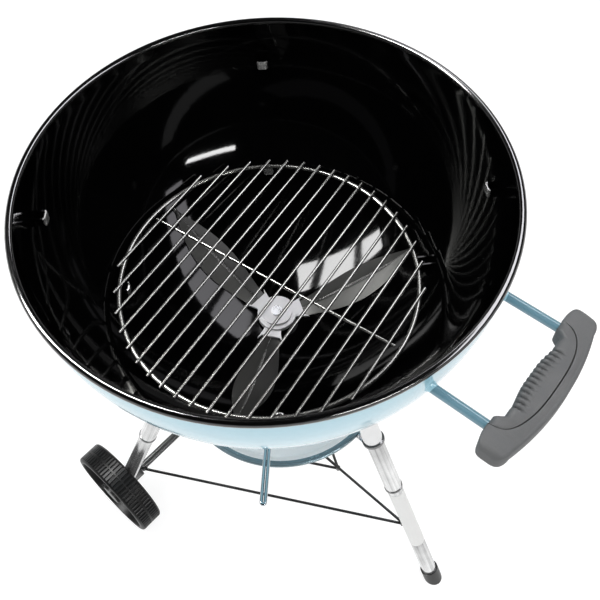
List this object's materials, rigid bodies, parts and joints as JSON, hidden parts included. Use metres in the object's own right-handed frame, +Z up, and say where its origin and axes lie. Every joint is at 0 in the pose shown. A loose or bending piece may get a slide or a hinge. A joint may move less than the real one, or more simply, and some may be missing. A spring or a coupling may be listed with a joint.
{
  "type": "kettle charcoal grill",
  "caption": "Open round kettle grill bowl on a wheeled tripod stand, with side handle, charcoal grate, ash sweeper and ash pan.",
  "frame": {"origin": "on the floor, on the vertical axis of the bowl", "axes": "+Z up; +X towards the side handle and the leg without a wheel; the wheel axle runs along Y"},
  "size_m": [0.6698, 0.574, 0.77],
  "materials": {
    "enamel_blue": "gloss pale blue enamel, black inside",
    "enamel_black": "gloss black",
    "leg_metal": "polished tube",
    "zinc": "bright zinc plating",
    "wire_nickel": "nickel-plated wire",
    "lever_chrome": "bright chrome",
    "blade_steel": "dark aluminised sheet",
    "hub_metal": "bright cast",
    "black_plastic": "moulded",
    "grip_nylon": "glass-filled nylon",
    "pan_metal": "satin pressing",
    "wheel_plastic": "moulded, ribbed tread"
  },
  "bodies": {
    "stand": {"bowl": "enamel_blue", "cooking_grate_tabs": "enamel_black", "charcoal_grate_tabs": "enamel_black", "leg_socket_front": "leg_metal", "leg_socket_left": "leg_metal", "leg_socket_right": "leg_metal", "socket_collars": "black_plastic", "upper_leg_front": "leg_metal", "upper_leg_left": "leg_metal", "upper_leg_right": "leg_metal", "leg_joint_rings": "leg_metal", "lower_leg_front": "leg_metal", "lower_leg_left": "leg_metal", "lower_leg_right": "leg_metal", "foot_cap": "black_plastic", "axle_bracket_left": "black_plastic", "axle_bracket_right": "black_plastic", "axle": "enamel_black", "axle_washers": "zinc", "axle_push_nuts": "zinc", "wire_brace": "enamel_black", "pan_clips": "zinc", "handle_frame": "enamel_blue", "handle_weld_pads": "enamel_blue", "grip_upper": "grip_nylon", "grip_lower": "grip_nylon", "grip_screws": "zinc"},
    "sweeper": {"sweeper_hub": "hub_metal", "sweeper_bolt": "zinc", "sweeper_washer": "zinc", "sweeper_nut": "zinc", "lever_boss": "zinc", "sweeper_lever": "lever_chrome", "sweeper_blade_1": "blade_steel", "sweeper_blade_2": "blade_steel", "sweeper_blade_3": "blade_steel"},
    "wheel_left": {"wheel_left": "wheel_plastic", "hub_cap_left": "black_plastic"},
    "wheel_right": {"wheel_right": "wheel_plastic", "hub_cap_right": "black_plastic"},
    "charcoal_grate": {"grate_ring": "wire_nickel", "grate_rods": "wire_nickel", "grate_cross_rod": "wire_nickel"},
    "ash_pan": {"ash_pan": "pan_metal"}
  },
  "joints": [
    {"name": "ash_lever_swing", "type": "hinge", "parent": "stand", "child": "sweeper", "pos_m": [0, 0, 0.47], "axis": [0, 0, 1], "range_deg": [-50, 35]},
    {"name": "wheel_left_spin", "type": "hinge", "parent": "stand", "child": "wheel_left", "pos_m": [-0.149, -0.2645, 0.0815], "axis": [0, 1, 0], "continuous": true},
    {"name": "wheel_right_spin", "type": "hinge", "parent": "stand", "child": "wheel_right", "pos_m": [-0.149, 0.2645, 0.0815], "axis": [0, 1, 0], "continuous": true},
    {"name": "charcoal_grate_lift", "type": "slide", "parent": "stand", "child": "charcoal_grate", "axis": [0, 0, 1], "range_m": [0, 0.25]},
    {"name": "ash_pan_lift", "type": "slide", "parent": "stand", "child": "ash_pan", "axis": [0, 0, 1], "range_m": [0, 0.02]}
  ]
}
